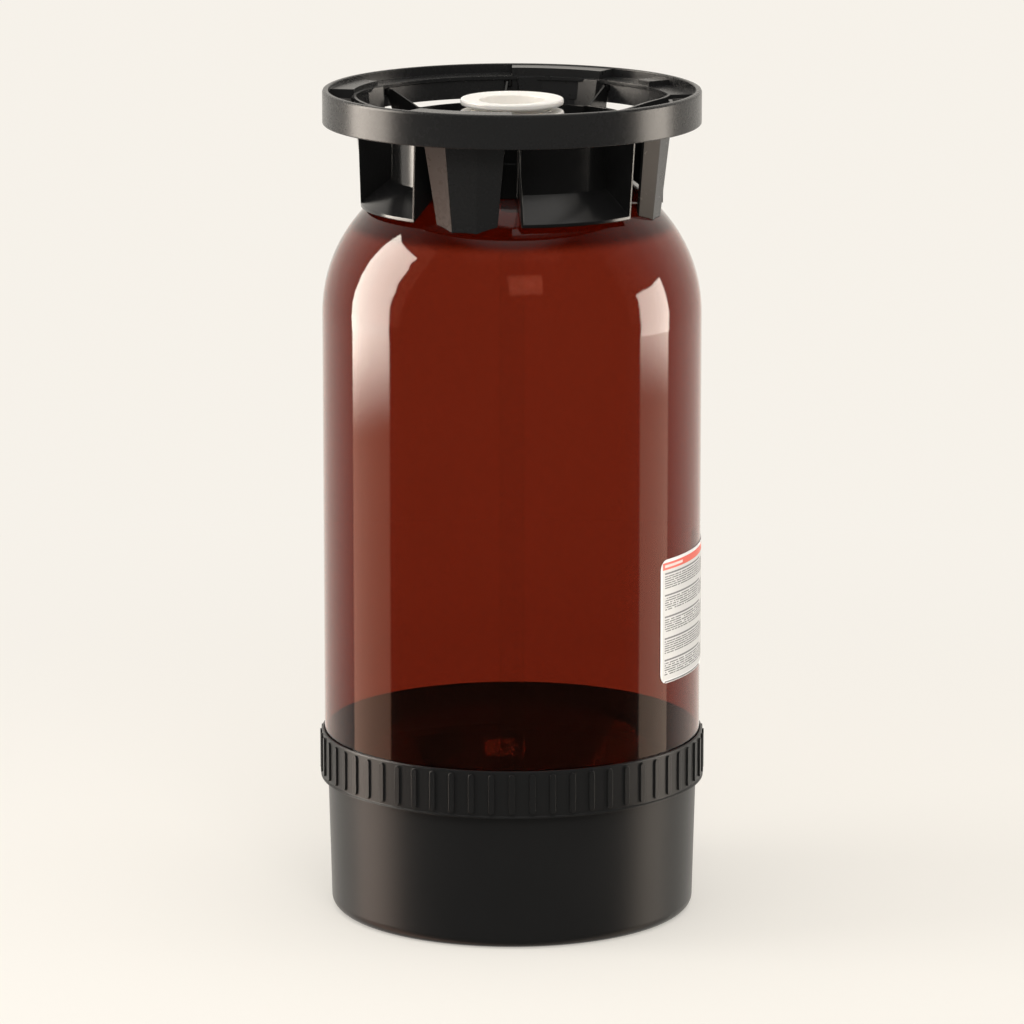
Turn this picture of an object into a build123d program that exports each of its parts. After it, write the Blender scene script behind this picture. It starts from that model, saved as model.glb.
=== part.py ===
from build123d import *
import math
import os

# A one-way beer keg: an amber blown bottle in a black base cup, with a black
# two-part top handle and a white sliding-coupler valve fitting in its neck.
# Millimetres and degrees. The origin is the middle of the floor under the
# keg, +Z is up and the front is -Y. Bearings run from the front towards +X.

# Bottle
bottle_radius = 120.8
bottle_wall = 1.2
dome_offset = 24.8
barrel_length = 271.0
bottle_lift = 21.0
neck_bore = 24.6
neck_wall = 3.0
neck_bead_height = 1.2
neck_bead_pitch = 6.0
support_ring_width = 6.0
support_ring_rise = 0.6
support_ring_thickness = 2.8

# Base cup
cup_wall = 2.2
cup_clearance = 0.3
cup_skirt_inset = 2.1
cup_skirt_taper = 2.1
cup_foot_rounding = 7.0
cup_floor_thickness = 3.0
cup_foot_ring_width = 14.0
cup_foot_ring_height = 2.0
cup_seat_inset = 49.8
cup_seat_thickness = 2.6
cup_gusset_count = 12
cup_gusset_thickness = 2.0
band_height = 29.5
band_top = 117.0
band_standoff = 1.7
band_lip = 0.8
rib_count = 60
rib_width = 3.8
rib_proud = 1.2
rib_margin = 2.0

# Closure and valve fitting
closure_radius = 33.0
closure_wall = 2.8
closure_height = 26.9
closure_plate = 2.7
closure_rounding = 1.5
gasket_thickness = 1.4
fitting_clearance = 0.15
flange_radius = 32.7
flange_thickness = 4.1
flange_standoff = 3.9
flange_dish = 0.9
flange_rim_width = 1.6
flange_rounding = 1.2
fitting_neck_radius = 24.15
fitting_shoulder_width = 1.5
fitting_shoulder_height = 1.0
fitting_depth = 34.0
recess_radius = 21.0
recess_depth = 10.5
recess_bevel = 0.6
seat_lip_radius = 17.2
seat_lip_thickness = 3.0
piston_bore = 19.9
cage_bore = 20.6
cage_bore_depth = 6.0
o_ring_depth = 1.2
o_ring_height = 2.2
o_ring_place = 12.0

# Moving spear: valve head, its tube and the product valve inside it
valve_travel = 7.0
product_travel = 5.0
head_nose_radius = 14.3
head_nose_drop = 0.3
head_flange_radius = 18.8
head_flange_thickness = 2.6
head_shell_radius = 10.5
head_bore = 8.8
head_length = 30.0
head_lip_radius = 6.4
head_lip_thickness = 1.6
spigot_radius = 7.0
spigot_bore = 5.6
spigot_length = 26.0
main_seal_thickness = 2.9
poppet_radius = 8.3
poppet_thickness = 2.0
poppet_nose_radius = 3.9
poppet_stem_radius = 2.6
poppet_stop_gap = 0.3
poppet_seal_thickness = 1.2
tube_wall = 1.4
tube_end_gap = 5.0
tube_socket = 24.0
tube_collar_length = 6.0
tube_collar_wall = 1.4
spring_seat_thickness = 1.5
spring_seat_bore = 5.0
spring_seat_step = 2.0

# Springs and their cage
main_spring_radius = 14.5
main_spring_wire = 1.8
main_spring_turns = 6
product_spring_radius = 6.6
product_spring_wire = 1.0
product_spring_turns = 5
cage_wall = 1.7
cage_radius = 18.3
cage_flange_thickness = 2.0
cage_stop_gap = 1.6
cage_floor_thickness = 2.0
cage_hole_clearance = 1.1
cage_window_count = 4
cage_window_width = 14.0
cage_window_margin = 6.0
clip_thickness = 1.2
clip_groove_depth = 0.8
clip_gap = 12.0

# Handle ring: rim, shelf, side wall and four legs
rim_inset = 0.8
rim_thickness = 3.8
rim_height = 21.4
rim_above_flange = 6.0
rim_rounding = 1.6
shelf_drop = 6.0
shelf_thickness = 2.4
shelf_lip = 1.0
rear_start = 98.0
rear_end = 262.0
wall_inset = 16.6
wall_thickness = 2.0
wall_drop = 14.0
front_wall_start = -34.0
front_wall_end = -2.0
leg_bearing = -18.0
leg_lean = 0.1075
leg_edge_spread = 0.2747
leg_edge_taper = 0.125
leg_edge_setback = 6.1
leg_edge_draw = 0.8
leg_fold_spread = 0.1083
leg_fold_taper = 0.043
leg_fold_draw = 0.3
leg_wall = 2.0
leg_top_inset = 0.5
guard_wall = 1.8
guard_height = 17.0
guard_margin = 1.4
grip_shelf_drop = 18.0
grip_shelf_reach = 18.4
grip_shelf_start = 57.0
grip_shelf_end = 87.0
raised_shelf_drop = 0.6
raised_shelf_starts = (-34.0, 146.0)
raised_shelf_arc = 34.0
stop_block_height = 3.4
stop_blocks = ((120.0, 127.0), (146.0, 157.0), (-122.0, -98.0))

# Guard walls, each as bearings and distances in from the wall ring's middle
left_guard = ((-101, 0), (-85, 4), (-73, 6.5), (-60, 8), (-46, 6.5), (-31, 0.5))
right_guard = ((101, 0), (93, 4), (85, 10), (76, 15), (62, 16), (40, 12), (18, 6), (-3, 0.5))

# Grip insert: hub, web, ring wall and four hand scoops
hub_bore_clearance = 0.4
hub_thickness = 2.3
hub_width = 9.4
web_thickness = 1.8
web_clearance = 1.0
web_steps = 8
scoop_wall = 1.6
scoop_back_inset = 44.0
scoop_lip_inset = 24.0
scoop_back_height = 37.5
scoop_back_rise = 5.4
scoop_lip_rise = 6.6
scoop_low_spread = 0.4276
scoop_low_splay = 0.30
scoop_top_spread = 0.4342
scoop_top_splay = 0.65
scoop_block_reach = 16.0
scoop_bearing = 27.0
scoop_foot_gap = 0.6
ring_inset = 3.6
ring_wall = 1.8
ring_step_height = 18.5
ring_step = 0.8
fin_clearance = 0.5
fin_foot_step = 1.5
fin_back_step = 2.0
fin_top_width = 4.0
fin_shoulder_drop = 6.0
catch_width = 4.0
catch_height = 3.6
catch_root = 2.5
catch_window_clearance = 0.45

# Label
label_left_bearing = 50.7
label_width = 112.0
label_height = 80.0
label_foot = 162.0
label_corner = 6.5
label_thickness = 0.25
label_gap = 0.15

# Clearances shared by several pieces
seat_gap = 0.2
shoulder_gap = 0.3
press_gap = 0.02
seal_gap = 0.05
main_seal_proud = 0.4

# Shares and margins used while shaping
round_share = 0.3
cut_margin = 5.0

# Heights and radii that follow from the sizes above
dome_radius = bottle_radius - dome_offset
foot_tangent = bottle_lift + dome_radius
shoulder_tangent = foot_tangent + barrel_length
dome_top = shoulder_tangent + dome_radius
neck_radius = neck_bore + neck_wall
support_ring_top = dome_top + support_ring_rise + support_ring_thickness
hub_foot = support_ring_top + seat_gap
hub_top = hub_foot + hub_thickness
closure_foot = hub_top + seat_gap
closure_top = closure_foot + closure_height
gasket_top = closure_top - closure_plate
neck_top = gasket_top - gasket_thickness
flange_foot = closure_top + flange_standoff
flange_top = flange_foot + flange_thickness
rim_top = flange_top + rim_above_flange
rim_foot = rim_top - rim_height
shelf_top = rim_top - shelf_drop
ledge = flange_top - recess_depth
seat_face = ledge - seat_lip_thickness
head_flange_top = seat_face - main_seal_thickness
head_foot = head_flange_top - head_length
tube_radius = spigot_radius + tube_wall
cage_top = flange_top - fitting_depth + cage_bore_depth
cage_floor_top = head_foot - valve_travel - cage_stop_gap
poppet_seal_foot = ledge - head_nose_drop - head_lip_thickness - poppet_seal_thickness
poppet_foot = poppet_seal_foot - poppet_thickness
spring_seat_foot = head_foot + spring_seat_step
spring_seat_top = spring_seat_foot + spring_seat_thickness
band_radius = bottle_radius + band_standoff
cup_skirt_top_radius = bottle_radius - cup_skirt_inset
cup_skirt_foot_radius = cup_skirt_top_radius - cup_skirt_taper
cup_seat_radius = bottle_radius - cup_seat_inset
rim_radius = bottle_radius - rim_inset
wall_radius = rim_radius - wall_inset
leg_edge_half_width = wall_radius * leg_edge_spread
leg_fold_half_width = wall_radius * leg_fold_spread
scoop_back_radius = rim_radius - scoop_back_inset
scoop_lip_radius = rim_radius - scoop_lip_inset
scoop_low_half_width = scoop_back_radius * scoop_low_spread
scoop_top_half_width = scoop_back_radius * scoop_top_spread
ring_radius = scoop_back_radius - ring_inset
turn = 360.0
quarter = 90.0


def shoulder_height(radius, offset=0.0):
    """Height of the bottle's shoulder, or of a skin that lies off it, at a radius."""
    across = radius - dome_offset
    return shoulder_tangent + math.sqrt((dome_radius + offset) ** 2 - across ** 2)


def turned(points, start=0.0, arc=turn):
    """A ring of the given radius and height outline, round an arc from a bearing."""
    outline = Plane.XZ * Polygon(*points, align=None)
    return Rot(0, 0, start - quarter) * revolve(outline, Axis.Z, arc)


def band(inner, outer, foot, top, start=0.0, arc=turn):
    """A plain ring with a square section."""
    return turned([(inner, foot), (outer, foot), (outer, top), (inner, top)], start, arc)


def drum(radius, foot, top):
    """A plain round bar on the keg's axis."""
    bar = Cylinder(radius, top - foot, align=(Align.CENTER, Align.CENTER, Align.MIN))
    return Pos(0, 0, foot) * bar


def at_bearing(shape, bearing):
    """Turns a shape that was drawn at the front to its bearing."""
    return Rot(0, 0, bearing) * shape


def four(shape, bearing):
    """Four copies of a shape, a quarter turn apart."""
    return [at_bearing(shape, bearing + quarter * index) for index in range(4)]


def dome_block(offset=0.0):
    """The bottle's outside, or the same lying off it, as one solid without its neck."""
    radius = dome_radius + offset
    foot = foot_tangent - radius
    top = shoulder_tangent + radius
    side = dome_offset + radius
    lines = [
        Line((0, foot), (dome_offset, foot)),
        RadiusArc((dome_offset, foot), (side, foot_tangent), -radius),
        Line((side, foot_tangent), (side, shoulder_tangent)),
        RadiusArc((side, shoulder_tangent), (dome_offset, top), -radius),
        Line((dome_offset, top), (0, top)),
        Line((0, top), (0, foot)),
    ]
    return revolve(Plane.XZ * make_face(lines), Axis.Z)


def make_bottle():
    """The blown bottle: barrel, two domes, support ring and beaded neck, open at its mouth."""
    shell = dome_block()
    root = dome_top - bottle_wall
    shell += drum(neck_radius, root - bottle_wall, neck_top)
    ring_foot = dome_top + support_ring_rise
    shell += band(neck_radius - neck_wall, neck_radius + support_ring_width, ring_foot, support_ring_top)
    for index in range(2):
        bead = neck_top - neck_bead_pitch * (index + 1)
        shell += turned([
            (neck_radius - 1, bead - 1),
            (neck_radius + neck_bead_height, bead),
            (neck_radius + neck_bead_height, bead + 1),
            (neck_radius - 1, bead + 1 + neck_bead_height),
        ])
    shell -= dome_block(-bottle_wall)
    return shell - drum(neck_bore, root - 2 * bottle_wall, neck_top + 1)


def make_base_cup():
    """The moulded cup: skirt, ribbed band, foot ring and the gussets that carry the bottle."""
    band_foot = band_top - band_height
    bore = bottle_radius + cup_clearance
    skirt_bore_top = cup_skirt_top_radius - cup_wall
    skirt_bore_foot = cup_skirt_foot_radius - cup_wall
    floor_top = cup_foot_ring_height + cup_floor_thickness
    tread = cup_skirt_foot_radius - cup_foot_rounding
    foot_ring_bore = tread - cup_foot_ring_width
    lines = [
        Line((foot_ring_bore, 0), (tread, 0)),
        RadiusArc((tread, 0), (cup_skirt_foot_radius, cup_foot_rounding), -cup_foot_rounding),
        Line((cup_skirt_foot_radius, cup_foot_rounding), (cup_skirt_top_radius, band_foot - band_lip)),
        Polyline(
            (cup_skirt_top_radius, band_foot - band_lip),
            (band_radius + band_lip, band_foot - band_lip),
            (band_radius + band_lip, band_foot),
            (band_radius, band_foot + band_lip),
            (band_radius, band_top - band_lip),
            (band_radius - band_lip / 2, band_top),
            (bore, band_top),
            (bore, band_foot + 1),
            (skirt_bore_top, band_foot - cup_wall),
            (skirt_bore_foot, floor_top + cup_foot_rounding),
            (skirt_bore_foot - cup_foot_rounding, floor_top),
            (cup_seat_radius, floor_top),
            (cup_seat_radius, cup_foot_ring_height),
            (foot_ring_bore - cup_foot_ring_height, cup_foot_ring_height),
            (foot_ring_bore, 0),
        ),
    ]
    cup = revolve(Plane.XZ * make_face(lines), Axis.Z)
    cup += make_gussets(floor_top, skirt_bore_foot)
    return cup + make_ribs(band_foot)


def make_gussets(floor_top, skirt_bore):
    """The seat ring and its radial gussets, cut to the bottle's lower dome."""
    carriers = band(cup_seat_radius, cup_seat_radius + cup_seat_thickness, floor_top - 1, foot_tangent)
    reach = skirt_bore + cup_wall / 2 - cup_seat_radius
    plate = Box(cup_gusset_thickness, reach, foot_tangent, align=(Align.CENTER, Align.MAX, Align.MIN))
    plate = Pos(0, -cup_seat_radius, floor_top - 1) * plate
    for index in range(cup_gusset_count):
        carriers += at_bearing(plate, turn * index / cup_gusset_count)
    room = band(0.0, skirt_bore + cup_wall / 2, floor_top - 1, foot_tangent - dome_radius / 2)
    return (carriers & room) - dome_block(shoulder_gap)


def make_ribs(band_foot):
    """The upright round-ended grip ribs round the band."""
    height = band_height - 2 * rib_margin
    outline = Plane.XZ * SlotOverall(height, rib_width, rotation=90)
    bar = extrude(outline, band_radius + rib_proud)
    bar = Pos(0, 0, band_foot + band_height / 2) * bar
    ring = band(band_radius - cup_wall / 4, band_radius + rib_proud, band_foot, band_top)
    ribs = [at_bearing(bar & ring, turn * index / rib_count) for index in range(rib_count)]
    return ribs


def make_closure():
    """The white closure that snaps over the neck's beads and carries the fitting."""
    bore = closure_radius - closure_wall
    body = turned([
        (fitting_neck_radius + fitting_clearance, closure_top),
        (fitting_neck_radius + fitting_clearance, gasket_top),
        (bore, gasket_top),
        (bore, closure_foot),
        (closure_radius, closure_foot),
        (closure_radius, closure_top - closure_rounding),
        (closure_radius - closure_rounding * round_share, closure_top - closure_rounding * round_share),
        (closure_radius - closure_rounding, closure_top),
    ])
    for index in range(2):
        bead = neck_top - neck_bead_pitch * (index + 1) - 1 - seat_gap
        body += turned([
            (bore + closure_wall / 4, bead - 2),
            (neck_radius + seat_gap, bead - 1),
            (neck_radius + seat_gap, bead),
            (bore + closure_wall / 4, bead),
        ])
    return body


def make_gasket():
    """The flat rubber ring between the bottle's lip and the closure."""
    return band(neck_bore + seat_gap, neck_radius - seat_gap, neck_top, gasket_top)


def make_fitting_body():
    """The flanged fitting body: dished flange, neck, coupler recess and valve seat lip."""
    foot = flange_top - fitting_depth
    groove = flange_top - o_ring_place
    edge = flange_rounding
    shoulder = fitting_neck_radius + fitting_shoulder_width
    clip_top = foot + cage_bore_depth - cage_flange_thickness
    clip_foot = clip_top - clip_thickness
    return turned([
        (flange_radius - edge, flange_top),
        (flange_radius - flange_rim_width - edge, flange_top),
        (recess_radius + recess_bevel, flange_top - flange_dish),
        (recess_radius, flange_top - flange_dish - recess_bevel),
        (recess_radius, ledge),
        (seat_lip_radius, ledge),
        (seat_lip_radius, seat_face),
        (piston_bore, seat_face),
        (piston_bore, foot + cage_bore_depth),
        (cage_bore, foot + cage_bore_depth),
        (cage_bore, clip_top),
        (cage_bore + clip_groove_depth, clip_top),
        (cage_bore + clip_groove_depth, clip_foot),
        (cage_bore, clip_foot),
        (cage_bore, foot),
        (fitting_neck_radius, foot),
        (fitting_neck_radius, groove - o_ring_height),
        (fitting_neck_radius - o_ring_depth, groove - o_ring_height),
        (fitting_neck_radius - o_ring_depth, groove),
        (fitting_neck_radius, groove),
        (fitting_neck_radius, closure_top),
        (shoulder, closure_top),
        (shoulder, closure_top + fitting_shoulder_height),
        (fitting_neck_radius, closure_top + fitting_shoulder_height),
        (fitting_neck_radius, flange_foot),
        (flange_radius - edge, flange_foot),
        (flange_radius - edge * round_share, flange_foot + edge * round_share),
        (flange_radius, flange_foot + edge),
        (flange_radius, flange_top - edge),
        (flange_radius - edge * round_share, flange_top - edge * round_share),
    ])


def make_body_seal():
    """The ring in the fitting body's groove that seals in the neck bore."""
    top = flange_top - o_ring_place - seal_gap
    foot = top - o_ring_height + 2 * seal_gap
    outer = neck_bore - 2 * seal_gap
    return band(fitting_neck_radius - o_ring_depth + seal_gap, outer, foot, top)


def make_spring_cage():
    """The windowed cage under the fitting body that holds the main spring."""
    top = cage_top
    foot = cage_floor_top - cage_floor_thickness
    hole = tube_radius + cage_hole_clearance
    cage = turned([
        (cage_radius - cage_wall, top),
        (cage_bore - seat_gap, top),
        (cage_bore - seat_gap, top - cage_flange_thickness),
        (cage_radius, top - cage_flange_thickness),
        (cage_radius, foot),
        (hole, foot),
        (hole, cage_floor_top),
        (cage_radius - cage_wall, cage_floor_top),
    ])
    height = top - foot - 2 * cage_window_margin
    window = Box(cage_window_width, cage_radius * 2, height, align=(Align.CENTER, Align.MAX, Align.MIN))
    window = Pos(0, 0, foot + cage_window_margin) * window
    for index in range(cage_window_count):
        cage -= at_bearing(window, turn * index / cage_window_count)
    return cage


def make_cage_clip():
    """The split wire ring that snaps in the body's groove under the cage's flange."""
    top = cage_top - cage_flange_thickness
    inner = cage_radius + seat_gap
    outer = cage_bore + clip_groove_depth - seat_gap
    ring = band(inner, outer, top - clip_thickness + seal_gap, top - press_gap)
    gap = Box(clip_gap, cage_bore * 2, clip_thickness * 3, align=(Align.CENTER, Align.MAX, Align.CENTER))
    return ring - Pos(0, 0, top) * gap


def make_spring(radius, wire, turns, foot, top):
    """A round-wire compression spring between two faces."""
    pitch = (top - foot - wire) / turns
    path = Helix(pitch, top - foot - wire, radius)
    section = Plane(path @ 0, z_dir=path % 0) * Circle(wire / 2)
    return Pos(0, 0, foot + wire / 2) * sweep(section, path, is_frenet=True)


def make_main_spring():
    """The spring between the cage's floor and the valve head's flange."""
    foot = cage_floor_top + press_gap
    top = head_flange_top - head_flange_thickness - press_gap
    return make_spring(main_spring_radius, main_spring_wire, main_spring_turns, foot, top)


def make_valve_head():
    """The sliding valve head: nose, seal flange, shell for the product valve, and spigot."""
    top = ledge - head_nose_drop
    flange_foot_height = head_flange_top - head_flange_thickness
    return turned([
        (head_lip_radius, top),
        (head_nose_radius, top),
        (head_nose_radius, head_flange_top),
        (head_flange_radius, head_flange_top),
        (head_flange_radius, flange_foot_height),
        (head_shell_radius, flange_foot_height),
        (head_shell_radius, head_foot),
        (spigot_radius, head_foot),
        (spigot_radius, head_foot - spigot_length),
        (spigot_bore, head_foot - spigot_length),
        (spigot_bore, spring_seat_foot),
        (head_bore, spring_seat_foot),
        (head_bore, top - head_lip_thickness),
        (head_lip_radius, top - head_lip_thickness),
    ])


def make_main_seal():
    """The rubber ring on the valve head that shuts against the seat lip."""
    outer = head_flange_radius + main_seal_proud
    return band(head_nose_radius + press_gap, outer, head_flange_top, seat_face)


def make_poppet():
    """The product valve: nose, head and guide stem."""
    stem_foot = spring_seat_top + product_travel + poppet_stop_gap
    poppet = drum(poppet_radius, poppet_foot, poppet_seal_foot)
    poppet += drum(poppet_nose_radius, poppet_foot, ledge - head_nose_drop)
    return poppet + drum(poppet_stem_radius, stem_foot, poppet_seal_foot)


def make_poppet_seal():
    """The rubber washer on the product valve."""
    top = poppet_seal_foot + poppet_seal_thickness
    outer = poppet_radius - 2 * seal_gap
    return band(poppet_nose_radius + press_gap, outer, poppet_seal_foot, top)


def make_product_spring():
    """The small spring under the product valve."""
    foot = spring_seat_top + press_gap
    top = poppet_foot - press_gap
    return make_spring(product_spring_radius, product_spring_wire, product_spring_turns, foot, top)


def make_spring_seat():
    """The washer on the valve head's inner step that carries the small spring."""
    return band(spring_seat_bore, head_bore - seal_gap, spring_seat_foot, spring_seat_top)


def make_dip_tube():
    """The product tube, pushed over the spigot and cut square just above the bottle's floor."""
    top = head_foot - (spigot_length - tube_socket)
    foot = bottle_lift + bottle_wall + valve_travel + tube_end_gap
    return band(spigot_radius + press_gap, tube_radius, foot, top)


def make_tube_collar():
    """The crimped collar that holds the tube on the spigot."""
    top = head_foot - tube_socket / 2 - tube_collar_length / 2
    outer = tube_radius + tube_collar_wall
    return band(tube_radius + press_gap, outer, top - tube_collar_length, top)


def leg_outline(depth, inset=0.0):
    """Half widths and distances of a leg's edges and folds at a depth below the shelf."""
    edge = leg_edge_half_width - leg_edge_taper * depth - inset * leg_edge_draw
    fold = leg_fold_half_width - leg_fold_taper * depth - inset * leg_fold_draw
    face = wall_radius - leg_lean * depth - inset
    setback = face - leg_edge_setback
    return [(-edge, -setback), (-fold, -face), (fold, -face), (edge, -setback)]


def leg_section(height):
    """The leg's three-faced wall, cut across at a height."""
    depth = shelf_top - height
    outer = leg_outline(depth)
    inner = leg_outline(depth, leg_wall)
    return Plane.XY.offset(height) * Polygon(*outer, *reversed(inner), align=None)


def make_leg():
    """One leg at the front: three tapering faces, cut to rest on the bottle's shoulder."""
    foot_radius = wall_radius - leg_edge_setback - leg_lean * (shelf_top - shoulder_tangent)
    foot = shoulder_height(foot_radius) - 3 * leg_edge_setback
    leg = loft([leg_section(shelf_top - leg_top_inset), leg_section(foot)], ruled=True)
    return leg - dome_block(shoulder_gap)


def place(bearing, radius):
    """A point in plan at a bearing and a radius."""
    angle = math.radians(bearing)
    return (radius * math.sin(angle), -radius * math.cos(angle))


def guard_line(points, offset=0.0):
    """A smooth line along a guard wall, moved inwards by an offset."""
    middle = wall_radius - wall_thickness / 2
    places = [place(bearing, middle - inset - offset) for bearing, inset in points]
    return Spline(*places)


def make_guard(points):
    """A thin upright wall that closes a leg's and a hand opening's inner side."""
    outer = guard_line(points)
    inner = guard_line(points, guard_wall)
    ends = [Line(outer @ 0, inner @ 0), Line(outer @ 1, inner @ 1)]
    outline = make_face([outer, inner, *ends])
    foot = shelf_top - guard_height
    return extrude(Plane.XY.offset(foot) * outline, guard_height)


def guard_room(points):
    """The space outside a guard wall's inner face that the fins keep out of."""
    inner = guard_line(points, guard_wall + fin_clearance)
    first = points[0][0]
    last = points[-1][0]
    outer = wall_radius + guard_wall
    start = place(first, outer)
    middle = place((first + last) / 2, outer * guard_margin)
    end = place(last, outer)
    outline = make_face([inner, Polyline(inner @ 1, end, middle, start, inner @ 0)])
    foot = shelf_top - guard_height - fin_clearance
    return extrude(Plane.XY.offset(foot) * outline, guard_height + 2 * fin_clearance)


def make_rim():
    """The rounded rim band that the hands grip."""
    inner = rim_radius - rim_thickness
    cut = rim_rounding * round_share
    return turned([
        (inner, rim_foot + cut),
        (inner + cut, rim_foot),
        (rim_radius - cut, rim_foot),
        (rim_radius, rim_foot + cut),
        (rim_radius, rim_top - rim_rounding),
        (rim_radius - cut, rim_top - cut),
        (rim_radius - rim_rounding, rim_top),
        (inner + cut, rim_top),
        (inner, rim_top - cut),
    ])


def make_handle_ring():
    """The outer handle moulding: rim, shelves, wall ring, guards, stop blocks and four legs."""
    inner = wall_radius - wall_thickness
    outer = rim_radius - rim_thickness / 2
    shelf_foot = shelf_top - shelf_thickness
    ring = make_rim()
    ring += band(inner - shelf_lip, outer, shelf_foot, shelf_top, rear_start, rear_end - rear_start)
    for start in raised_shelf_starts:
        ring += band(inner, outer, shelf_foot, rim_top - raised_shelf_drop, start, raised_shelf_arc)
    ring += make_grip_shelf(outer)
    ring += make_wall(inner, rear_start, rear_end)
    ring += make_wall(inner, front_wall_start, front_wall_end)
    for leg in four(make_leg(), leg_bearing):
        ring += leg
    ring += make_guard(left_guard)
    ring += make_guard(right_guard)
    block_top = shelf_top + stop_block_height
    for start, end in stop_blocks:
        ring += band(inner, outer, shelf_foot + shelf_thickness / 2, block_top, start, end - start)
    for window in make_catches(wall_radius + fin_clearance, catch_window_clearance):
        ring -= window
    return ring


def make_grip_shelf(outer):
    """The low shelf that ties the right leg to the rim beside the hand opening."""
    inner = wall_radius - grip_shelf_reach
    top = rim_top - grip_shelf_drop
    arc = grip_shelf_end - grip_shelf_start
    return band(inner, outer, top - shelf_thickness, top, grip_shelf_start, arc)


def make_wall(inner, start, end):
    """The leaning wall under a shelf's inner edge, between two bearings."""
    lean = leg_lean * wall_drop
    foot = shelf_top - wall_drop
    return turned([
        (wall_radius, shelf_top),
        (inner, shelf_top),
        (inner - lean, foot),
        (wall_radius - lean, foot),
    ], start, end - start)


def fin_bearing():
    """Angle from a scoop's middle to its fin's outer edge."""
    reach = wall_radius - wall_thickness
    base = scoop_top_half_width + scoop_wall / 2 - scoop_top_splay * scoop_back_radius
    square = 1 + scoop_top_splay ** 2
    half = scoop_top_splay * base
    away = (-half + math.sqrt(half ** 2 - square * (base ** 2 - reach ** 2))) / square
    return math.degrees(math.asin((base + scoop_top_splay * away) / reach))


def make_catches(outer, clearance=0.0):
    """The catches on the rear fins that click into the wall ring's windows."""
    half = math.degrees((catch_width / 2 + clearance) / wall_radius)
    top = shelf_top - shelf_thickness - fin_clearance + clearance
    foot = top - catch_height - 2 * clearance
    inner = wall_radius - wall_thickness - catch_root
    middle = scoop_bearing + 2 * quarter
    bearings = [scoop_bearing + quarter + fin_bearing(), middle - fin_bearing(), middle + fin_bearing()]
    return [band(inner, outer, foot, top, bearing - half, 2 * half) for bearing in bearings]


def scoop_section(height, half_width, splay, margin):
    """A scoop's plan at a height: its sides splay outwards from the back wall."""
    near = scoop_back_radius - scoop_block_reach
    far = scoop_lip_radius + scoop_block_reach
    back = half_width + splay * (near - scoop_back_radius) + margin
    front = half_width + splay * (far - scoop_back_radius) + margin
    corners = [(-back, -near), (-front, -far), (front, -far), (back, -near)]
    return Plane.XY.offset(height) * Polygon(*corners, align=None)


def scoop_block(margin):
    """The wedge between a scoop's side walls, from under its floor to above its fins."""
    low = shoulder_height(scoop_lip_radius) - 2.5 * scoop_wall
    low_plan = scoop_section(low, scoop_low_half_width, scoop_low_splay, margin)
    top_plan = scoop_section(shelf_top, scoop_top_half_width, scoop_top_splay, margin)
    return loft([low_plan, top_plan], ruled=True)


def make_scoop():
    """One hand scoop at the front: back wall, sloping floor and two side fins."""
    inside = scoop_back_radius - scoop_wall
    back_floor = shoulder_height(scoop_back_radius) + scoop_back_rise
    lip_floor = shoulder_height(scoop_lip_radius) + scoop_lip_rise
    slope = (lip_floor - back_floor) / (scoop_lip_radius - scoop_back_radius)
    back_top = back_floor + scoop_back_height
    ring_bore = ring_radius - ring_wall
    fin_front = wall_radius - wall_thickness - fin_clearance
    fin_top = shelf_top - shelf_thickness - fin_clearance
    fin_shoulder = fin_top - fin_shoulder_drop
    floor_wall = scoop_wall * math.hypot(1, slope)
    shell = turned([
        (ring_bore, shoulder_height(ring_bore, scoop_foot_gap)),
        (scoop_back_radius, shoulder_height(scoop_back_radius, scoop_foot_gap)),
        (scoop_back_radius, back_floor - floor_wall),
        (scoop_lip_radius, lip_floor - floor_wall),
        (scoop_lip_radius, lip_floor),
        (scoop_lip_radius + fin_foot_step, rim_foot),
        (fin_front - leg_lean * (shelf_top - fin_shoulder), fin_shoulder),
        (fin_front - leg_lean * (shelf_top - fin_top), fin_top),
        (fin_front - fin_top_width, fin_top),
        (scoop_back_radius + fin_back_step, back_top),
        (ring_bore, back_top),
    ], -quarter / 2, quarter)
    far = wall_radius + 2 * cut_margin
    cavity = turned([
        (scoop_back_radius, back_floor),
        (far, back_floor + slope * (far - scoop_back_radius)),
        (far, shelf_top + cut_margin),
        (scoop_back_radius, shelf_top + cut_margin),
    ], -quarter / 2, quarter)
    behind_foot = shoulder_height(ring_bore, web_clearance) + web_thickness
    behind = band(ring_bore - cut_margin, inside, behind_foot, shelf_top)
    shell &= scoop_block(scoop_wall)
    return shell - (scoop_block(0.0) & (cavity + behind))


def make_grip_insert():
    """The inner handle moulding: hub on the neck, web over the shoulder, scoops and ring wall."""
    ring_bore = ring_radius - ring_wall
    hub_outer = neck_radius + hub_width
    hub_bore = neck_radius + neck_bead_height + hub_bore_clearance
    ring_foot = shoulder_height(ring_radius, shoulder_gap)
    ring_top = shoulder_height(scoop_back_radius) + scoop_back_rise + scoop_back_height
    step = ring_top - ring_step_height
    wall = turned([
        (ring_bore, shoulder_height(ring_bore, shoulder_gap)),
        (ring_radius, ring_foot),
        (ring_radius, step),
        (ring_radius - ring_step, step),
        (ring_radius - ring_step, ring_top),
        (ring_bore - ring_step, ring_top),
        (ring_bore - ring_step, step - ring_step),
        (ring_bore, step - 2 * ring_step),
    ])
    for block in four(scoop_block(scoop_wall / 2), scoop_bearing):
        wall -= block
    insert = wall
    for scoop in four(make_scoop(), scoop_bearing):
        insert += scoop
    insert += make_web(hub_outer, ring_bore)
    insert += band(hub_bore, hub_outer, hub_foot, hub_top)
    for points in (left_guard, right_guard):
        insert -= guard_room(points)
    for catch in make_catches(wall_radius - fin_clearance):
        insert += catch
    return insert


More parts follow.
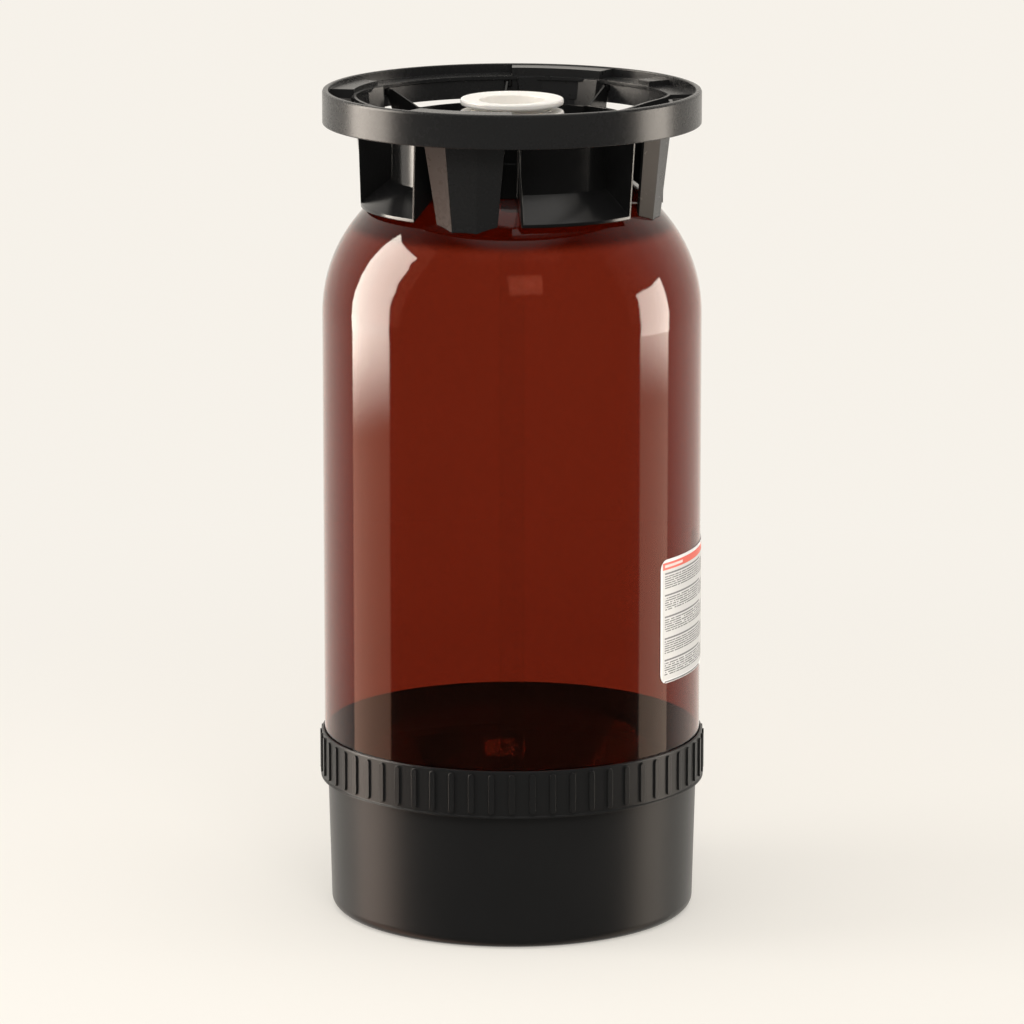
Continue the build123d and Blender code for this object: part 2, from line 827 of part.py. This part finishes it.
def web_line(inner, outer, offset):
    """Points along a skin that lies off the bottle's shoulder, from the inside out."""
    points = []
    for index in range(web_steps + 1):
        radius = inner + (outer - inner) * index / web_steps
        points.append((radius, shoulder_height(radius, offset)))
    return points


def make_web(hub_outer, ring_bore):
    """The skin that spreads from the hub over the bottle's shoulder to the ring wall."""
    inner = hub_outer - web_thickness
    outer = ring_bore + ring_wall / 2
    under = web_line(inner, outer, web_clearance)
    over = web_line(inner, outer, web_clearance + web_thickness)
    web = turned([*under, *reversed(over)])
    return web + band(inner, hub_outer, shoulder_height(hub_outer, web_clearance), hub_top)


def make_label():
    """The printed label, a thin skin on the barrel with rounded corners."""
    radius = bottle_radius + label_gap
    skin = band(radius, radius + label_thickness, label_foot, label_foot + label_height)
    sweep_angle = math.degrees(label_width / radius)
    half_chord = radius * math.sin(math.radians(sweep_angle / 2))
    outline = Plane.XZ * RectangleRounded(2 * half_chord, label_height, label_corner)
    stamp = Pos(0, 0, label_foot + label_height / 2) * extrude(outline, radius + cut_margin)
    stamp = at_bearing(stamp, label_left_bearing + sweep_angle / 2)
    return skin & stamp


def write(name, shape):
    """Writes one piece to its own file."""
    shape.label = name
    export_step(shape, "parts/" + name + ".step")


os.makedirs("parts", exist_ok=True)
write("bottle", make_bottle())
write("base_cup", make_base_cup())
write("handle_ring", make_handle_ring())
write("grip_insert", make_grip_insert())
write("neck_closure", make_closure())
write("closure_gasket", make_gasket())
write("fitting_body", make_fitting_body())
write("body_seal", make_body_seal())
write("spring_cage", make_spring_cage())
write("cage_clip", make_cage_clip())
write("main_spring", make_main_spring())
write("valve_head", make_valve_head())
write("main_seal", make_main_seal())
write("product_poppet", make_poppet())
write("poppet_seal", make_poppet_seal())
write("product_spring", make_product_spring())
write("spring_seat", make_spring_seat())
write("dip_tube", make_dip_tube())
write("tube_collar", make_tube_collar())
write("label", make_label())
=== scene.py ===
import bpy
import math
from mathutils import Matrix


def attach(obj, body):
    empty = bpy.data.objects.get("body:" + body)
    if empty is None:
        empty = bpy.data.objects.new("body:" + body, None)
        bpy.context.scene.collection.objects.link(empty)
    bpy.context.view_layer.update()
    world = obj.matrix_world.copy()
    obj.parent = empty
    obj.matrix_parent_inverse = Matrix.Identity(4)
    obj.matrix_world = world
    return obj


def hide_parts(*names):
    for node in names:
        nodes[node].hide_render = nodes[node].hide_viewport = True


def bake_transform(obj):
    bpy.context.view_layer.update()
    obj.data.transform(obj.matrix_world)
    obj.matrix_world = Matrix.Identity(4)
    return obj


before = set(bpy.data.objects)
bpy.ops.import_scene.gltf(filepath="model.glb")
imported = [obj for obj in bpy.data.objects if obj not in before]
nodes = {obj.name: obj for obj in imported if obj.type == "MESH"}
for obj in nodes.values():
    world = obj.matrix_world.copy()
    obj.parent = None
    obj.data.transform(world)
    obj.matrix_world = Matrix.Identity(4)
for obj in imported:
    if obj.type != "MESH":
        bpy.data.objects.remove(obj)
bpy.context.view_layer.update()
bpy.ops.object.select_all(action="DESELECT")


# Bottle. One piece of blown amber plastic, stretched from a preform, so its wall
# is clear and glossy with slow waves, a little uneven in tint and deeper towards the bottom; above
# 0.441 m the shoulder and neck are painted dark, a painted shade for the handle above them.
class Field:
    """One output of a shader node. Arithmetic on it adds Math nodes to its tree."""

    def __init__(self, tree, socket=None):
        self.tree = tree
        self.socket = socket

    def node(self, kind, settings=None, values=None, output=0):
        """Adds a node: its settings first, then its sockets' values or links."""
        made = self.tree.nodes.new("ShaderNode" + kind)
        for name, value in (settings or {}).items():
            setattr(made, name, value)
        for name, value in (values or {}).items():
            if isinstance(value, Field):
                self.tree.links.new(value.socket, made.inputs[name])
            else:
                made.inputs[name].default_value = value
        return Field(self.tree, made.outputs[output])

    def math(self, operation, *values):
        return self.node("Math", {"operation": operation}, dict(enumerate(values)))

    def __add__(self, other):
        return self.math("ADD", self, other)

    def __sub__(self, other):
        return self.math("SUBTRACT", self, other)

    def __rsub__(self, other):
        return self.math("SUBTRACT", other, self)

    def __mul__(self, other):
        return self.math("MULTIPLY", self, other)

    def __truediv__(self, other):
        return self.math("DIVIDE", self, other)

    __radd__ = __add__
    __rmul__ = __mul__

    def rise(self, low, high):
        """0 below low, 1 above high and a smooth step between them."""
        values = {"Value": self, "From Min": low, "From Max": high}
        return self.node("MapRange", {"interpolation_type": "SMOOTHSTEP"}, values)

    def between(self, low, high, soft):
        """1 inside a range and 0 outside it, with soft ends."""
        return self.rise(low - soft, low + soft) * (1 - self.rise(high - soft, high + soft))

    def noise(self, place, scale, detail=2.0):
        return self.node("TexNoise", None, {"Vector": place, "Scale": scale, "Detail": detail})

    def mix(self, share, first, second):
        """A colour between two colours."""
        return self.node("Mix", {"data_type": "RGBA"}, {0: share, 6: first, 7: second}, 2)


def finish(name):
    """A new material, with its shader and a first field on its tree."""
    material = bpy.data.materials.new(name)
    material.use_nodes = True
    return material, material.node_tree.nodes["Principled BSDF"], Field(material.node_tree)


def feed(shader, socket, field):
    field.tree.links.new(field.socket, shader.inputs[socket])


def wear(material, *names):
    """Gives CAD nodes a material."""
    for name in names:
        nodes[name].data.materials.clear()
        nodes[name].data.materials.append(material)


amber, shader, field = finish("amber_blown_plastic")
place = field.node("TexCoord", output="Object")
height = field.node("SeparateXYZ", None, {0: place}, "Z")
thickness = field.noise(place, 5.0)
pale_amber = (0.405, 0.128, 0.078, 1)
deep_amber = (0.352, 0.098, 0.056, 1)
handle_shade_amber = (0.11, 0.018, 0.005, 1)
share = thickness * 0.5 + height.rise(0.42, 0.05) * 0.5
wall_colour = field.mix(share, pale_amber, deep_amber)
# Painted shade: above 0.441 m the wall is mixed to a dark amber that stands for the handle's dark
# reflection and shade on the shoulder.
feed(shader, "Base Color", field.mix(height.rise(0.441, 0.4475), wall_colour, handle_shade_amber))
feed(shader, "Roughness", 0.012 + field.noise(place, 40.0) * 0.008)
waves = field.noise(place, 14.0, 1.0)
wave_bumps = field.node("Bump", None, {"Strength": 0.08, "Distance": 0.0006, "Height": waves})
feed(shader, "Normal", wave_bumps)
shader.inputs["Transmission Weight"].default_value = 1.0
shader.inputs["IOR"].default_value = 1.3
wear(amber, "bottle")


# Base cup, handle ring and grip insert. Black injection-moulded polypropylene with a
# fine satin grain, slightly uneven gloss, and edges rounded by 0.6 to 0.7 mm. The cup
# is the mattest of the three and the insert the glossiest.
def black_moulding(name, tone, gloss, edge, index):
    """Satin black plastic with a fine grain and softly rounded edges."""
    material, shader, field = finish(name)
    place = field.node("TexCoord", output="Object")
    flow = field.noise(place, 9.0, 3.0)
    low = (tone * 0.85, tone * 0.85, tone * 0.87, 1)
    high = (tone * 1.2, tone * 1.2, tone * 1.2, 1)
    feed(shader, "Base Color", field.mix(flow, low, high))
    feed(shader, "Roughness", gloss + flow * 0.08 + field.noise(place, 260.0) * 0.05)
    grain = field.noise(place, 900.0, 3.0)
    bumps = field.node("Bump", None, {"Strength": 0.12, "Distance": 0.00005, "Height": grain})
    edges = field.node("Bevel", {"samples": 6}, {"Radius": edge, "Normal": bumps})
    feed(shader, "Normal", edges)
    shader.inputs["IOR"].default_value = index
    return material


cup_black = black_moulding("black_cup_plastic", 0.0130, 0.28, 0.0007, 1.21)
handle_black = black_moulding("black_handle_plastic", 0.0150, 0.21, 0.0006, 1.27)
insert_black = black_moulding("black_insert_plastic", 0.0060, 0.13, 0.0006, 1.33)
wear(cup_black, "base_cup")
wear(handle_black, "handle_ring")
wear(insert_black, "grip_insert")


# Closure and valve fitting. White moulded polypropylene, a little warm and waxy,
# with a soft satin gloss; the parts inside are the same plastic, a shade yellower.
def white_moulding(name, colour):
    """Waxy white plastic that lets a little light in."""
    material, shader, field = finish(name)
    place = field.node("TexCoord", output="Object")
    flow = field.noise(place, 22.0, 3.0)
    low = (*(value * 0.95 for value in colour), 1)
    feed(shader, "Base Color", field.mix(flow, low, (*colour, 1)))
    feed(shader, "Roughness", 0.36 + field.noise(place, 180.0) * 0.10)
    grain = field.noise(place, 700.0, 2.0)
    bumps = field.node("Bump", None, {"Strength": 0.15, "Distance": 0.00005, "Height": grain})
    feed(shader, "Normal", field.node("Bevel", {"samples": 6}, {"Radius": 0.0006, "Normal": bumps}))
    shader.inputs["Subsurface Weight"].default_value = 0.08
    shader.inputs["Subsurface Radius"].default_value = (0.004, 0.003, 0.002)
    shader.inputs["Subsurface Scale"].default_value = 1.0
    return material


white = white_moulding("white_fitting_plastic", (0.82, 0.79, 0.745))
ivory = white_moulding("ivory_valve_plastic", (0.76, 0.70, 0.61))
wear(white, "fitting_body", "neck_closure")
wear(ivory, "valve_head", "product_poppet", "spring_cage", "spring_seat")


# Seals. Black rubber, moulded and washed, so it is matt with a dusty bloom.
rubber, shader, field = finish("black_seal_rubber")
place = field.node("TexCoord", output="Object")
bloom = field.noise(place, 120.0, 4.0)
feed(shader, "Base Color", field.mix(bloom, (0.018, 0.018, 0.018, 1), (0.045, 0.043, 0.041, 1)))
feed(shader, "Roughness", 0.55 + bloom * 0.25)
dust = field.node("Bump", None, {"Strength": 0.3, "Distance": 0.00005, "Height": bloom})
feed(shader, "Normal", dust)
wear(rubber, "closure_gasket", "body_seal", "main_seal", "poppet_seal")


# Product tube. Thin clear polyethylene, pushed over the spigot; it hardly shows
# through the amber wall.
clear, shader, field = finish("clear_tube_plastic")
place = field.node("TexCoord", output="Object")
haze = field.noise(place, 60.0, 3.0)
feed(shader, "Base Color", field.mix(haze, (0.95, 0.95, 0.94, 1), (0.99, 0.99, 0.99, 1)))
feed(shader, "Roughness", 0.02 + haze * 0.05)
shader.inputs["Transmission Weight"].default_value = 1.0
shader.inputs["IOR"].default_value = 1.03
wear(clear, "dip_tube")


# Springs. Drawn stainless wire, coiled and cut square; each stands between its seat
# and the valve that it shuts.
steel, shader, field = finish("drawn_spring_steel")
place = field.node("TexCoord", output="Object")
streaks = field.noise(place, 500.0, 3.0)
feed(shader, "Base Color", field.mix(streaks, (0.52, 0.52, 0.51, 1), (0.68, 0.67, 0.65, 1)))
feed(shader, "Roughness", 0.24 + streaks * 0.16)
shader.inputs["Metallic"].default_value = 1.0
wear(steel, "cage_clip", "tube_collar")


def add_spring(name, radius, wire, turns, foot, top):
    """A closed coil of round wire between two heights."""
    bpy.ops.object.select_all(action="DESELECT")
    bpy.ops.mesh.primitive_circle_add(
        vertices=14,
        radius=wire / 2,
        location=(radius, 0, foot + wire / 2),
        rotation=(math.pi / 2, 0, 0),
    )
    coil = bpy.context.object
    coil.name = name
    bpy.ops.object.transform_apply(location=True, rotation=True, scale=True)
    screw = coil.modifiers.new("coil", "SCREW")
    screw.iterations = turns
    screw.screw_offset = (top - foot - wire) / turns
    screw.steps = 40
    screw.render_steps = 40
    bpy.ops.object.modifier_apply(modifier=screw.name)
    bpy.ops.object.mode_set(mode="EDIT")
    bpy.ops.mesh.select_all(action="SELECT")
    bpy.ops.mesh.fill_holes(sides=0)
    bpy.ops.mesh.normals_make_consistent(inside=False)
    bpy.ops.object.mode_set(mode="OBJECT")
    bpy.ops.object.shade_smooth_by_angle(angle=math.radians(60))
    coil.data.materials.append(steel)
    return coil


cage_floor = 0.4700
head_flange_foot = 0.5060
return_spring = add_spring("return_spring", 0.0145, 0.0018, 6, cage_floor, head_flange_foot)
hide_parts("main_spring")
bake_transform(return_spring)

seat_top = 0.4821
poppet_foot = 0.5094
valve_spring = add_spring("valve_spring", 0.0066, 0.0010, 5, seat_top, poppet_foot)
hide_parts("product_spring")
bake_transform(valve_spring)


# Label. A printed white film with rounded corners, stuck on the barrel's right side:
# a warm red strip at its head and five blocks of grey lines on a pale grey field.
label_radius = 0.12095
label_width = 0.112
label_height = 0.080
label_foot = 0.162
label_corner = 0.0065
label_start = math.radians(50.7)
label_turn = label_width / label_radius

bpy.ops.object.select_all(action="DESELECT")
bpy.ops.mesh.primitive_plane_add(size=1, rotation=(math.pi / 2, 0, 0))
print_label = bpy.context.object
print_label.name = "printed_label"
print_label.scale = (label_width, label_height, 1)
bpy.ops.object.transform_apply(location=True, rotation=True, scale=True)
bpy.ops.object.mode_set(mode="EDIT")
bpy.ops.mesh.select_all(action="SELECT")
bpy.ops.mesh.bevel(offset=label_corner, segments=8, affect="VERTICES")
for cut in range(1, 40):
    across = label_width * (cut / 40 - 0.5)
    bpy.ops.mesh.select_all(action="SELECT")
    bpy.ops.mesh.bisect(plane_co=(across, 0, 0), plane_no=(1, 0, 0))
bpy.ops.object.mode_set(mode="OBJECT")
film = print_label.modifiers.new("film", "SOLIDIFY")
film.thickness = 0.00025
film.offset = 1.0
bpy.ops.object.modifier_apply(modifier=film.name)
wrap = print_label.modifiers.new("wrap", "SIMPLE_DEFORM")
wrap.deform_method = "BEND"
wrap.deform_axis = "Z"
wrap.angle = label_turn
bpy.ops.object.modifier_apply(modifier=wrap.name)
middle = label_start + label_turn / 2
print_label.rotation_euler = (0, 0, middle)
print_label.location = (
    label_radius * math.sin(middle),
    -label_radius * math.cos(middle),
    label_foot + label_height / 2,
)
bpy.ops.object.transform_apply(location=True, rotation=True, scale=True)
bpy.ops.object.shade_smooth_by_angle(angle=math.radians(40))

printed, shader, field = finish("printed_label_film")
place = field.node("TexCoord", output="Object")
x = field.node("SeparateXYZ", None, {0: place}, "X")
y = field.node("SeparateXYZ", None, {0: place}, "Y")
z = field.node("SeparateXYZ", None, {0: place}, "Z")
bearing = field.math("ARCTAN2", x, y * -1.0)
across = (bearing - label_start) * (label_radius * 1000)
down = (label_foot + label_height - z) * 1000.0

# The print's places in millimetres, across from the left edge and down from the top.
border = 2.0
margin = 4.2
strip_foot = 6.6
block_pitch = 14.0
first_line = 3.2
line_pitch = 1.45
inside = across.between(border, label_width * 1000 - border, 0.05)
field_area = inside * down.between(border, label_height * 1000 - border, 0.05)
strip = inside * down.between(border, strip_foot, 0.05)
block = (down - 7.4) / block_pitch
row = block.math("FRACT", block) * block_pitch
bold = row.between(1.2, 2.3, 0.08) * across.between(margin, 62.0, 0.2)
line = (row - first_line) / line_pitch
thin = line.math("FRACT", line).between(0.08, 0.62, 0.06) * across.between(margin, 106.0, 0.2)
thin = thin * row.between(first_line, 12.0, 0.05)
line_key = line.math("FLOOR", line) + block.math("FLOOR", block) * 9.0
words = field.node("TexNoise", {"noise_dimensions": "2D"}, {
    "Vector": field.node("CombineXYZ", None, {0: across, 1: line_key * 3.7}),
    "Scale": 0.55,
    "Detail": 1.0,
})
thin = thin * words.rise(0.34, 0.38)
ink = bold.math("MAXIMUM", bold, thin) * down.rise(8.0, 8.2)
paper = field.mix(field_area, (0.86, 0.86, 0.85, 1), (0.64, 0.64, 0.63, 1))
paper = field.mix(strip, paper, (0.72, 0.085, 0.045, 1))
marks = strip * down.between(3.5, 5.2, 0.1) * across.between(margin, 26.0, 0.3)
paper = field.mix(marks * 0.75, paper, (0.86, 0.84, 0.82, 1))
feed(shader, "Base Color", field.mix(ink * 0.95, paper, (0.09, 0.09, 0.095, 1)))
feed(shader, "Roughness", 0.34 + field.noise(place, 90.0) * 0.12)
creases = field.noise(place, 30.0)
film_bumps = field.node("Bump", None, {"Strength": 0.1, "Distance": 0.0002, "Height": creases})
feed(shader, "Normal", film_bumps)
print_label.data.materials.append(printed)
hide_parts("label")
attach(print_label, "root")


# Floor and studio. A pale warm sweep with soft lamps at both sides, above and in front.
# Glossy surfaces see upright cards in a quiet room in place of the lamps.
backdrop_colour = (0.925, 0.885, 0.820, 1)
bpy.ops.object.select_all(action="DESELECT")
bpy.ops.mesh.primitive_plane_add(size=24)
floor = bpy.context.object
floor.name = "studio_floor"
floor.visible_glossy = False
sweep, shader, field = finish("studio_sweep")
place = field.node("TexCoord", output="Object")
distance = field.node("VectorMath", {"operation": "LENGTH"}, {0: place}, "Value")
shader.inputs["Base Color"].default_value = (0.905, 0.868, 0.805, 1)
shader.inputs["Roughness"].default_value = 1.0
shader.inputs["Specular IOR Level"].default_value = 0.0
glow = field.node("Emission", None, {"Color": backdrop_colour, "Strength": 1.0})
lit = Field(sweep.node_tree, shader.outputs[0])
share = 0.45 + distance.rise(0.15, 1.2) * 0.55
both = field.node("MixShader", None, {0: share, 1: lit, 2: glow})
both.tree.links.new(both.socket, sweep.node_tree.nodes["Material Output"].inputs["Surface"])
floor.data.materials.append(sweep)

world = bpy.context.scene.world or bpy.data.worlds.new("studio")
bpy.context.scene.world = world
world.use_nodes = True
field = Field(world.node_tree)
direction = field.node("TexCoord", output="Generated")
x = field.node("SeparateXYZ", None, {0: direction}, "X")
y = field.node("SeparateXYZ", None, {0: direction}, "Y")
z = field.node("SeparateXYZ", None, {0: direction}, "Z")
bearing = x.math("ARCTAN2", x, y * -1.0) * (180 / math.pi)
lift = z.math("ARCSINE", z) * (180 / math.pi)
room = 0.03 + y.rise(-0.35, 0.75) * 1.0
left_card = bearing.between(-113.0, -79.5, 1.0)
right_card = bearing.between(84.0, 109.5, 1.0)
left_low = left_card * (1 - lift.rise(-11.5, -9.5)) * 2.9
right_low = right_card * (1 - lift.rise(-11.2, -9.2)) * 2.2
left_high = left_card * lift.between(-10.6, 40.0, 0.6) * 25.0
right_high = right_card * lift.between(-10.3, 14.0, 0.6) * 20.0
high_card = left_high + right_high
top_card = lift.rise(58.0, 72.0) * 1.4
red = room + left_low + right_low + high_card + top_card
green = room * 0.95 + left_low * 0.55 + right_low * 0.76 + high_card * 0.91 + top_card * 0.97
blue = room * 0.87 + left_low * 0.37 + right_low * 0.56 + high_card * 0.80 + top_card * 0.93
from_camera = field.node("LightPath", output="Is Camera Ray")
through = field.node("LightPath", output="Is Transmission Ray")
glossy = field.node("LightPath", output="Is Glossy Ray")
seen = from_camera.math("MAXIMUM", from_camera, through)
fill = (0.66, 0.65, 0.63, 1)
studio = field.node("CombineColor", None, {0: red, 1: green, 2: blue})
colour = field.mix(glossy, fill, studio)
colour = field.mix(seen, colour, backdrop_colour)
background = world.node_tree.nodes["Background"]
world.node_tree.links.new(colour.socket, background.inputs["Color"])
background.inputs["Strength"].default_value = 1.0


def add_lamp(name, place, aim, width, height, power):
    """A soft rectangular lamp that lights the object but isn't mirrored in it."""
    bpy.ops.object.light_add(type="AREA", location=place)
    lamp = bpy.context.object
    lamp.name = name
    lamp.data.shape = "RECTANGLE"
    lamp.data.size = width
    lamp.data.size_y = height
    lamp.data.energy = power
    lamp.data.color = (1.0, 0.98, 0.95)
    away = [start - end for start, end in zip(place, aim)]
    tilt = math.atan2(math.hypot(away[0], away[1]), away[2])
    turn = math.atan2(away[0], -away[1])
    lamp.rotation_euler = (tilt, 0, turn)
    lamp.visible_glossy = False
    lamp.visible_camera = False


add_lamp("left_softbox", (-1.5, -0.2, 1.0), (0, 0, 0.3), 0.8, 1.6, 11.0)
add_lamp("right_softbox", (1.6, -0.1, 0.9), (0, 0, 0.3), 0.7, 1.3, 2.5)
add_lamp("top_softbox", (0, -0.3, 2.0), (0, 0, 0.3), 1.6, 1.6, 9.5)
add_lamp("front_softbox", (0.3, -1.9, 1.7), (0, 0, 0.5), 0.8, 0.6, 13.0)


# Camera. A long lens four metres away, a little above the keg and level with its middle.
bpy.ops.object.camera_add(location=(0, -3.881, 1.0726), rotation=(math.radians(78.14), 0, 0))
camera = bpy.context.object
camera.data.sensor_width = 36.0
camera.data.lens = 217.6
camera.data.clip_end = 60.0
bpy.context.scene.camera = camera
bpy.context.scene.view_settings.view_transform = "Standard"
